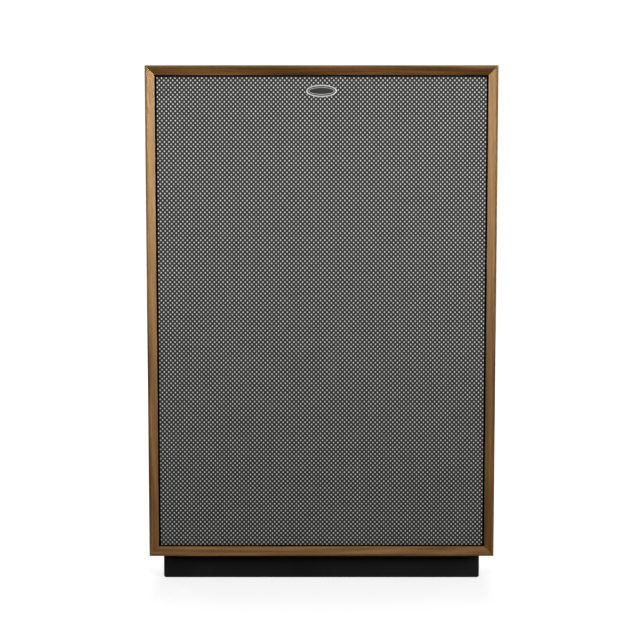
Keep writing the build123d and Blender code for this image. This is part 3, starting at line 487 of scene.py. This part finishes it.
def paint_nodes():
    """Give every CAD node that stays in view its material."""
    black = satin_black("satin_black_paint")
    matt_black = satin_black("matt_black_paint", 0.016, 0.62, fibre=True)
    horn = moulded("horn_black", (0.014, 0.014, 0.015), 0.46)
    plastic = moulded("moulded_black", (0.020, 0.020, 0.021), 0.5, 800)
    bare = raw_board()
    screw = turned_metal("black_oxide", (0.05, 0.05, 0.052), 0.42)
    ferrite = Look("ground_ferrite", (0.045, 0.046, 0.050), 0.55).grain(0.45, 0.7, 350, 0.3, 0.35, 0.0003)
    gold = turned_metal("gold_plate", (0.86, 0.58, 0.22), 0.22)
    basket = Look("crackle_black", (0.016, 0.016, 0.018), 0.5).grain(0.4, 0.6, 260, 0.25, 0.6, 0.0006)
    gasket = Look("fibre_gasket", (0.018, 0.018, 0.018), 0.8).grain(0.7, 0.9, 420, 0.3, 0.4, 0.0004)
    foil_z = centre("mid_diaphragm").z
    titanium = turned_metal("titanium_foil", (0.50, 0.49, 0.50), 0.3, foil_z, rings=300)
    acrylic = {"rough": 0.22, "Coat_Weight": 0.5}
    red = Look("red_acrylic", (0.42, 0.010, 0.012), **acrylic).grain(0.18, 0.3, 500, 0.15, 0.05)
    dark = Look("black_acrylic", (0.012, 0.012, 0.013), **acrylic).grain(0.18, 0.3, 500, 0.15, 0.05)
    materials = {
        "cabinet_top": walnut("walnut_top", 0, 2.2, 0.88),
        "cabinet_bottom": walnut("walnut_bottom", 0, 4.0),
        "cabinet_left_side": walnut("walnut_left", 2, 5.0, 0.93),
        "cabinet_right_side": walnut("walnut_right", 2, 11.0),
        "plinth_front_board": black,
        "plinth_back_board": black,
        "plinth_side_boards": black,
        "plinth_corner_blocks": bare,
        "motor_board": matt_black,
        "back_panel": matt_black,
        "cleats": bare,
        "window_brace": bare,
        "grille_frame": matt_black,
        "grille_magnets": brushed_metal("nickel_disc", (0.66, 0.64, 0.60), 0.25),
        "catch_plates": brushed_metal("nickel_plate", (0.60, 0.59, 0.56), 0.3),
        "cabinet_screws": screw,
        "front_screws": screw,
        "woofer_bolts": screw,
        "port_tubes": horn,
        "mid_horn": horn,
        "tweeter_horn": horn,
        "mid_rear_cap": plastic,
        "tweeter_rear_cap": plastic,
        "terminal_cup": plastic,
        "woofer_terminals": plastic,
        "woofer_basket": basket,
        "woofer_gasket": gasket,
        "woofer_cone": cone_paper("cone_pulp"),
        "woofer_dust_cap": cone_paper("cap_pulp"),
        "woofer_voice_coil": wound_copper("voice_coil_copper"),
        "woofer_top_plate": zinc("top_plate", "woofer_top_plate"),
        "woofer_pole_piece": zinc("pole", "woofer_pole_piece"),
        "mid_pole_piece": zinc("mid_pole", "mid_pole_piece"),
        "mid_top_plate": zinc("mid_plate", "mid_top_plate"),
        "tweeter_pole_piece": zinc("tweeter_pole", "tweeter_pole_piece"),
        "tweeter_top_plate": zinc("tweeter_plate", "tweeter_top_plate"),
        "woofer_magnet": ferrite,
        "mid_magnet": ferrite,
        "tweeter_magnet": ferrite,
        "mid_diaphragm": titanium,
        "tweeter_diaphragm": titanium,
        "binding_posts": gold,
        "jumper_straps": brushed_metal("gold_strap", (0.86, 0.60, 0.24), 0.34, (1, 1, 12)),
        "crossover_board": Look("paper_laminate", (0.28, 0.17, 0.07), 0.5).grain(0.4, 0.6, 300, 0.25, 0.1),
        "crossover_capacitors": film_capacitor("film_capacitor"),
        "crossover_coils": wound_copper("inductor_copper"),
        "internal_leads": moulded("pvc_black", (0.02, 0.02, 0.02), 0.45, 500),
    }
    for name in nodes:
        if name.startswith("knob_"):
            materials[name] = red if "positive" in name else dark
        if name.startswith("washer_"):
            materials[name] = gold
    for name, mat in materials.items():
        data = nodes[name].data
        data.materials.clear()
        data.materials.append(mat)


# ---------------------------------------------------------------- grille cloth
FOLD = 2.0 * MM  # radius of the cloth's fold round the frame
WARP_RISE, WEFT_RISE = 0.10 * MM, 0.16 * MM
WARP_FLOAT, WEFT_FLOAT = 0.16 * MM, 0.42 * MM  # added where that thread crosses over the other


def folded(s, half):
    """A distance along the cloth, counted from the middle, as (place across the front, depth)."""
    flat = half - FOLD
    arc = FOLD * math.pi / 2
    past = np.abs(s) - flat
    angle = np.clip(past / FOLD, 0, math.pi / 2)
    place = np.minimum(np.abs(s), flat) + FOLD * np.sin(angle)
    return np.sign(s) * place, FOLD * (1 - np.cos(angle)) + np.clip(past - arc, 0, None)


def weave_relief(thread_u, thread_v):
    """Height of the cloth's surface over its lowest point, at places counted in threads."""
    warp = np.sin(math.pi * (thread_u % 1)) ** 2
    weft = np.sin(math.pi * (thread_v % 1)) ** 2
    over = np.cos(math.pi * (thread_u - 0.5)) ** 2 * np.cos(math.pi * (thread_v - 0.5)) ** 2
    weft_up = np.sin(math.pi * thread_u) * np.sin(math.pi * thread_v) > 0
    return WARP_RISE * warp + WEFT_RISE * weft + over * np.where(weft_up, WEFT_FLOAT, WARP_FLOAT)


def cloth_steps(half, count, hang):
    """Two steps to a thread over the front, and on down the sides."""
    pitch = 2 * half / count
    inside = np.linspace(-half, half, 2 * count + 1)
    beyond = half + np.arange(pitch / 2, hang + 1e-9, pitch / 2)
    return inside, beyond


def cloth_strip(name, us, vs, threads):
    """A grid of folded cloth, with its thread numbers kept for the material."""
    low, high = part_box("grille_cloth")
    width, height = high.x - low.x, high.z - low.z
    side_inset = 0.7 * MM
    u, v = np.meshgrid(us, vs)
    x, back_x = folded(u, width / 2)
    z, back_z = folded(v, height / 2)
    thread_u = (u + width / 2) / (width / threads[0])
    thread_v = (v + height / 2) / (height / threads[1])
    relief = weave_relief(thread_u, thread_v)
    # late in the fold and down the sides, the relief stands out sideways instead of forwards
    lean_x, lean_z = back_x > FOLD * 0.6, back_z > FOLD * 0.6
    top = WARP_RISE + WEFT_RISE + WEFT_FLOAT
    y = low.y + top + back_x + back_z - np.where(lean_x | lean_z, 0, relief)
    x = x - np.sign(x) * np.where(lean_x, side_inset - relief, 0)
    z = z - np.sign(z) * np.where(lean_z, side_inset - relief, 0)
    data = grid_mesh(name, np.stack([x, y, z + centre("grille_cloth").z], axis=-1))
    numbers = np.stack([thread_u, thread_v, np.zeros_like(thread_u)], axis=-1).reshape(-1)
    attribute = data.attributes.new("threads", "FLOAT_VECTOR", "POINT")
    attribute.data.foreach_set("vector", numbers.astype(np.float32))
    return data


def grille_weave():
    """Plain weave of pale weft over dark warp, as one relief, stretched over the frame and its edges."""
    low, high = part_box("grille_cloth")
    width, height, depth = high.x - low.x, high.z - low.z, high.y - low.y
    threads = (148, 203)  # 4.07 mm apart across, and 4.28 mm up
    hang = depth - 1.6 * MM  # how far the cloth turns back down each side
    front_u, side_u = cloth_steps(width / 2, threads[0], hang)
    front_v, side_v = cloth_steps(height / 2, threads[1], hang)
    meshes = [cloth_strip("front", front_u, front_v, threads)]
    for sign in (-1, 1):
        ends_u = np.sort(np.concatenate([[sign * width / 2], sign * side_u]))
        ends_v = np.sort(np.concatenate([[sign * height / 2], sign * side_v]))
        meshes.append(cloth_strip("side", ends_u, front_v, threads))
        meshes.append(cloth_strip("end", front_u, ends_v, threads))
    bm = bmesh.new()
    for data in meshes:
        bm.from_mesh(data)
    bmesh.ops.remove_doubles(bm, verts=bm.verts, dist=0.00002)
    for data in meshes:
        bpy.data.meshes.remove(data)
    bmesh.ops.recalc_face_normals(bm, faces=bm.faces)
    cloth = mesh_object("grille_weave", bm, smooth=True)
    cloth.data.materials.append(weave_material())
    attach(cloth, "grille")
    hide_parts("grille_cloth")


def weave_material():
    """Pale weft floats and charcoal warp floats, each a tapered twisted yarn, with a painted highlight on
    each pale yarn's crest and painted shade in the gaps between.
    """
    look = Look("silver_charcoal_weave", rough=0.6, Specular_IOR_Level=0.4)
    threads = look.node("Attribute", attribute_name="threads").outputs["Vector"]
    u, v, _ = look.split(threads)  # warp threads counted across, and weft threads counted up
    wave_u = look.math("SINE", look.math("MULTIPLY", u, math.pi))
    wave_v = look.math("SINE", look.math("MULTIPLY", v, math.pi))
    weft_up = look.math("GREATER_THAN", look.math("MULTIPLY", wave_u, wave_v), 0.0)
    # the place in one crossing, from -0.5 to 0.5, with its axes swapped where the weft is on top
    cell_u = look.math("SUBTRACT", look.math("FRACT", u), 0.5)
    cell_v = look.math("SUBTRACT", look.math("FRACT", v), 0.5)
    swap = look.math("MULTIPLY", look.math("SUBTRACT", cell_v, cell_u), weft_up)
    across = look.math("ADD", cell_u, swap)
    along = look.math("SUBTRACT", cell_v, swap)
    taper = look.math("MULTIPLY", look.math("MULTIPLY", along, along), -0.55)
    off_centre = look.math("DIVIDE", look.math("ABSOLUTE", across), look.math("ADD", taper, 0.42))
    yarn = look.span(off_centre, 1.08, 0.86)
    flatness = look.math("SUBTRACT", 1.0, look.math("POWER", off_centre, 2.0))
    round_top = look.math("SQRT", look.math("MAXIMUM", flatness, 0.0))
    # painted highlight: the pale yarn is lightest along the middle of its crest, fading toward its edges and
    # ends
    crest_highlight = look.math("MULTIPLY", look.span(look.math("ABSOLUTE", along), 0.5, 0.0), round_top)
    turns = look.math("MULTIPLY_ADD", along, 26.0, look.math("MULTIPLY", across, 17.0))
    twist = look.span(look.math("SINE", turns), -1, 1)
    weft_fibres = look.noise(look.mapped((5, 34, 1), source=threads), 1, 3, 0.6)
    warp_fibres = look.noise(look.mapped((34, 5, 1), source=threads), 1, 3, 0.6)
    fibres = look.mix(weft_up, warp_fibres, weft_fibres)
    slub = look.noise(look.mapped((0.04, 0.8, 1), source=threads), 1, 2)
    tone = look.share(twist, 0.35, fibres)
    tone = look.math("MULTIPLY_ADD", look.math("SUBTRACT", slub, 0.5), 0.3, tone)
    lit = look.math("MULTIPLY_ADD", crest_highlight, 0.85, look.math("MULTIPLY", tone, 0.30))
    # the pale yarn's colours run from painted shade at its edges to a painted highlight on its crest
    silver_shade_to_highlight = (0.12, (0.020, 0.020, 0.019)), (0.50, (0.180, 0.181, 0.175)), (0.90, (0.90, 0.902, 0.88))
    silver = look.ramp(lit, *silver_shade_to_highlight)
    charcoal = look.mix(tone, (0.006, 0.006, 0.006), (0.028, 0.028, 0.029))
    color = look.mix(weft_up, charcoal, silver)
    # painted shade: near black in the gaps between the yarns
    look.feed("Base Color", look.mix(yarn, (0.003, 0.003, 0.003), color))
    look.feed("Roughness", look.span(fibres, 0.3, 0.7, 0.5, 0.75))
    height = look.math("MULTIPLY_ADD", tone, 0.25, look.math("MULTIPLY", round_top, yarn))
    look.bump(height, 0.5, 0.0003)
    return look.mat


def badge():
    """A plain oval plate: bright rim, dark enamel field and one fine raised line."""
    low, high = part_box("grille_badge")
    middle = centre("grille_badge")
    half_width, half_height = (high.x - low.x) / 2, (high.z - low.z) / 2
    smallest = 0.05 * MM
    turns = full_turn(96)

    def plate(name, profile, mat):
        """An oval shell from points (inset from the badge's edge, height above its back), in mm."""
        rings = []
        for inset, rise in profile:
            width = max(half_width - inset * MM, smallest)
            height = max(half_height - inset * MM, smallest)
            rings.append(oval_ring(middle.x, high.y - rise * MM, middle.z, width, height, turns))
        obj = link(name, grid_mesh(name, np.stack(rings), wrap_v=True))
        obj.data.materials.append(mat)
        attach(obj, "grille")
        return obj

    plating = {"rough": 0.38, "Metallic": 0.35, "Coat_Weight": 0.5}
    lacquer = {"rough": 0.45, "Coat_Weight": 0.1}
    bright = Look("badge_plating", (0.82, 0.82, 0.81), **plating).grain(0.3, 0.45, 700, 0.1, 0.05)
    enamel = Look("badge_enamel", (0.018, 0.018, 0.019), **lacquer).grain(0.4, 0.55, 900, 0.2, 0.05)
    outer_slope = [(0, 0), (0, 1.8), (0.25, 2.5), (0.7, 2.9), (1.2, 3.0)]
    inner_slope = [(1.7, 2.9), (2.1, 2.4), (2.3, 1.7), (2.3, 1.2)]
    field = [(2.1, 0.4), (2.1, 1.5), (3.2, 1.62), (5.5, 1.75), (8.0, 1.85), (10.9, 1.9)]
    line = [(4.4, 1.5), (4.4, 2.1), (4.6, 2.35), (5.1, 2.35), (5.3, 2.1), (5.3, 1.5)]
    rim_plate = plate("badge_rim", outer_slope + inner_slope, bright)
    plate("badge_field", field, enamel)
    plate("badge_line", line, bright)
    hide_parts("grille_badge")


# ---------------------------------------------------------------- cloth of the woofer
def cloth_sectors(node, name, count, profile, thick, start_r, end_r, mat):
    """A ring of cloth as sectors round the node's middle; start and end are the radii at the basket and at
    the cone.
    """
    hub = centre(node)
    front = np.array(profile)
    loop = np.concatenate([front, front[::-1] + [0, thick]])
    radius, depth = loop[:, 0], loop[:, 1]
    sector = 2 * math.pi / count

    def around(angle, r):
        return hub.x + r * math.cos(angle), hub.z + r * math.sin(angle)

    for i in range(count):
        rings = []
        for angle in np.linspace(i * sector, (i + 1) * sector, 7):
            x, z = around(angle, radius)
            rings.append(np.stack([x, depth, z], -1))
        obj = link(f"{name}_{i + 1:02d}", grid_mesh(name, np.stack(rings), wrap_v=True))
        obj.data.materials.append(mat)
        for r in (start_r, end_r):
            x, z = around((i + 0.5) * sector, r)
        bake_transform(obj)
        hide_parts(node)


def arcs(r0, r1, count, depth, height, steps=8):
    """Half waves between two radii, to either side of a depth, as points (radius, depth)."""
    points = []
    step = (r1 - r0) / count
    for i in range(count):
        for k in range(steps):
            t = k / steps
            points.append((r0 + (i + t) * step, depth - height * (-1) ** i * math.sin(math.pi * t)))
    return points


def woofer_cloth():
    """The surround and the spider, whose profiles are (radius, depth behind the baffle's face) in mm."""
    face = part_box("motor_board")[0].y
    thick = 0.8 * MM
    surround = [(148, 5.0), (151, 5.0), *arcs(154, 170, 3, 5.0, 2.2), (170, 5.0), (171.5, 3.1), (180, 3.1)]
    spider = [(37.8, 97), (41, 97), *arcs(44, 86, 7, 97, 2.2), (86, 97), (88, 105), (98, 105)]

    def placed(points):
        return [(r * MM, face + u * MM) for r, u in points]

    doped = doped_cloth("doped_accordion", (0.010, 0.010, 0.011), (0.045, 0.045, 0.048), 0.0011)
    amber = doped_cloth("spider_cloth", (0.30, 0.16, 0.045), (0.55, 0.33, 0.12), 0.0013, 0.7)
    cloth_sectors("woofer_surround", "surround", 24, placed(surround), thick, 169.0 * MM, 155.5 * MM, doped)
    cloth_sectors("woofer_spider", "spider", 12, placed(spider), thick, 83.0 * MM, 44.0 * MM, amber)


# ---------------------------------------------------------------- wadding
def wadding():
    """Fluffy pads, crowned and pulled in where they are stapled to the walls."""
    low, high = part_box("damping_pads")
    brace_low, brace_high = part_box("window_brace")
    thick, brace_gap, top_pad_gap, side_gap = 0.025, 0.006, 0.008, 0.03
    rear_half_width, rear_bottom, rear_top = 0.25, 0.61, high.z - 0.04
    wide = high.x
    front, back = low.y, brace_high.y - 0.023
    below_brace = (low.z, brace_low.z - brace_gap)
    above_brace = (brace_high.z + brace_gap, high.z - thick - top_pad_gap)
    pads = []  # (corner at the wall, opposite corner, axis of the thickness)
    for bottom, top in (below_brace, above_brace):
        for side in (-1, 1):
            pads.append(((side * wide, front, bottom), (side * (wide - thick), back, top), 0))
    pads.append(((-wide + side_gap, front, high.z), (wide - side_gap, back, high.z - thick), 2))
    pads.append(((-rear_half_width, high.y, rear_bottom), (rear_half_width, high.y - thick, rear_top), 1))
    fluff = fluff_material()
    for number, (near, far, axis) in enumerate(pads):
        obj = pad_object(f"wadding_{number + 1}", near, far, axis, number)
        obj.data.materials.append(fluff)
        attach(obj, "cabinet")
        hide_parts("damping_pads")


def fluff_material():
    """Pale polyester lint."""
    look = Look("polyester_wadding", rough=0.95, Sheen_Weight=0.4)
    lint = look.noise(look.mapped((150, 150, 150)), 1, 9, 0.85, 4.0)
    cloud = look.noise(look.object_coords, 22, 4, 0.6)
    shades = (0.3, (0.36, 0.345, 0.31)), (0.7, (0.76, 0.74, 0.69))
    look.feed("Base Color", look.ramp(look.share(lint, 0.6, cloud), *shades))
    look.bump(lint, 1.0, 0.005)
    return look.mat


def lumpiness(u, v, seed, waves=14):
    """A smooth random unevenness between -1 and 1; u and v run from -1 to 1 over a pad."""
    rng = np.random.default_rng(40 + seed)
    lumps = np.zeros_like(u)
    for _ in range(waves):
        along_u, along_v, phase = rng.uniform(4, 16), rng.uniform(4, 16), rng.uniform(0, 6.28)
        lumps += np.sin(along_u * u + along_v * v + phase) / waves
    return lumps


def staple_tucks(u, v, size, spacing=0.16, reach=0.026):
    """How far each place is pulled in, from 1 at a staple to 0 away from them."""
    rows, columns = (max(1, round(side / spacing)) for side in size)
    tuck = np.zeros_like(u)
    for i in range(rows):
        for k in range(columns):
            from_u = (u - (2 * (i + 0.5) / rows - 1)) * size[0] / 2
            from_v = (v - (2 * (k + 0.5) / columns - 1)) * size[1] / 2
            tuck = np.maximum(tuck, np.exp(-np.sqrt(from_u**2 + from_v**2) / reach))
    return tuck


def pad_object(name, near, far, axis, seed, cell=0.012, thinnest=0.02):
    """A crowned pad between a wall (near) and its outer face (far), thick along one axis."""
    others = [i for i in range(3) if i != axis]
    size = [abs(far[i] - near[i]) for i in others]
    u, v = np.meshgrid(*(np.linspace(-1, 1, max(12, int(side / cell)) + 1) for side in size))
    crown = np.clip((1 - np.abs(u) ** 5) * (1 - np.abs(v) ** 5), 0, 1) ** 0.55
    fullness = crown * (0.93 + 0.35 * lumpiness(u, v, seed)) * (1 - 0.70 * staple_tucks(u, v, size))
    shrink = 1 - 0.012 * (1 - crown)
    bm = bmesh.new()
    for share in (np.full_like(u, thinnest), np.clip(fullness, thinnest, 1)):
        points = np.zeros((*u.shape, 3))
        points[..., axis] = near[axis] + (far[axis] - near[axis]) * share
        for i, place, side in zip(others, (u, v), size):
            points[..., i] = (near[i] + far[i]) / 2 + place * shrink * side / 2
        data = grid_mesh(name, points)
        bm.from_mesh(data)
        bpy.data.meshes.remove(data)
    bmesh.ops.remove_doubles(bm, verts=bm.verts, dist=0.0008)
    bmesh.ops.holes_fill(bm, edges=[e for e in bm.edges if e.is_boundary], sides=0)
    bmesh.ops.recalc_face_normals(bm, faces=bm.faces)
    return mesh_object(name, bm, smooth=True)


# ---------------------------------------------------------------- terminals
def collar_ring(name, x, y, z):
    """A rounded ring that stands on a face at y, from points (radius, height) in mm."""
    profile = [(8.1, 0.0), (9.6, 0.0), (9.8, 0.8), (9.5, 1.9), (9.0, 2.3), (8.5, 2.3), (8.1, 1.9)]
    turns = full_turn(48)
    rings = [oval_ring(x, y + height * MM, z, radius * MM, radius * MM, turns) for radius, height in profile]
    return link(name, grid_mesh("ring", np.stack(rings), True, True))


def raised_sign(name, place, plus):
    """A minus sign, or a plus with a second bar, with softened edges; the half sizes are in mm."""
    long, short, thick = 3.2, 0.55, 0.5
    bars = [(long, short)] + ([(short, long)] if plus else [])
    bm = bmesh.new()
    for half_width, half_height in bars:
        made = bmesh.ops.create_cube(bm, size=1)["verts"]
        bmesh.ops.scale(bm, vec=(2 * half_width * MM, thick * MM, 2 * half_height * MM), verts=made)
    bmesh.ops.translate(bm, vec=place, verts=bm.verts)
    mark = mesh_object(name, bm)
    bevel = mark.modifiers.new("bevel", "BEVEL")
    bevel.width = 0.15 * MM
    apply_modifiers(mark)
    return mark


def terminal_marks():
    """A coloured ring round each post's collar, and a raised plus or minus beside it."""
    cup_depth, beside = 25 * MM, 18 * MM
    floor_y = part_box("terminal_cup")[1].y - cup_depth
    red = Look("ring_red", (0.45, 0.012, 0.012), 0.35).grain(0.3, 0.45, 700, 0.15, 0.05)
    dark = Look("ring_black", (0.010, 0.010, 0.010), 0.3).grain(0.25, 0.4, 700, 0.15, 0.05)
    pale = Look("mark_white", (0.62, 0.62, 0.60), 0.5).grain(0.42, 0.6, 900, 0.1, 0.05)
    for name in [n for n in nodes if n.startswith("washer_")]:
        post = centre(name)
        positive = "positive" in name
        ring = collar_ring(name.replace("washer", "collar_ring"), post.x, floor_y, post.z)
        ring.data.materials.append(red if positive else dark)
        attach(ring, "cabinet")
        place = (post.x + math.copysign(beside, post.x), floor_y + 0.2 * MM, post.z)
        mark = raised_sign(name.replace("washer", "sign"), place, positive)
        mark.data.materials.append(pale)
        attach(mark, "cabinet")


# ---------------------------------------------------------------- build
bpy.context.scene.view_settings.view_transform = "Standard"
bpy.context.scene.view_settings.look = "None"
camera((-0.0028, -3.197, 0.797), 5.645, 92.05)
studio()
world_light([(0.0, 0.02), (0.47, 0.04), (0.56, 0.30), (1.0, 0.50)], 0.15)
# each box gives its place, aim, size and glow, and the two at the sides a spread in degrees
area_light("left_box", (-1.95, -2.35, 1.22), (0.0, -0.2, 1.12), (0.9, 1.0), 3.85, 80)
area_light("right_box", (1.95, -2.35, 1.22), (0.0, -0.2, 1.12), (0.9, 1.0), 5.1, 80)
area_light("top_box", (0, -1.2, 3.2), (0, -0.2, 0.3), (2.4, 1.6), 0.42)
area_light("high_back_box", (0, 1.4, 3.0), (0, 0.05, 0.9), (2.4, 1.6), 1.9)
area_light("back_left_box", (-2.2, 2.6, 0.8), (0, 0.1, 0.55), (1.2, 1.4), 7.0)
area_light("back_right_box", (2.4, 2.2, 0.75), (0, 0.1, 0.45), (1.2, 1.4), 5.0)
area_light("back_fill", (0.3, 4.2, 1.3), (0, 0, 0.5), (1.8, 1.4), 3.0)
area_light("front_fill", (0, -4.4, 0.9), (0, 0, 0.4), (2.0, 1.2), 0.46)
paint_nodes()
grille_weave()
badge()
woofer_cloth()
wadding()
terminal_marks()
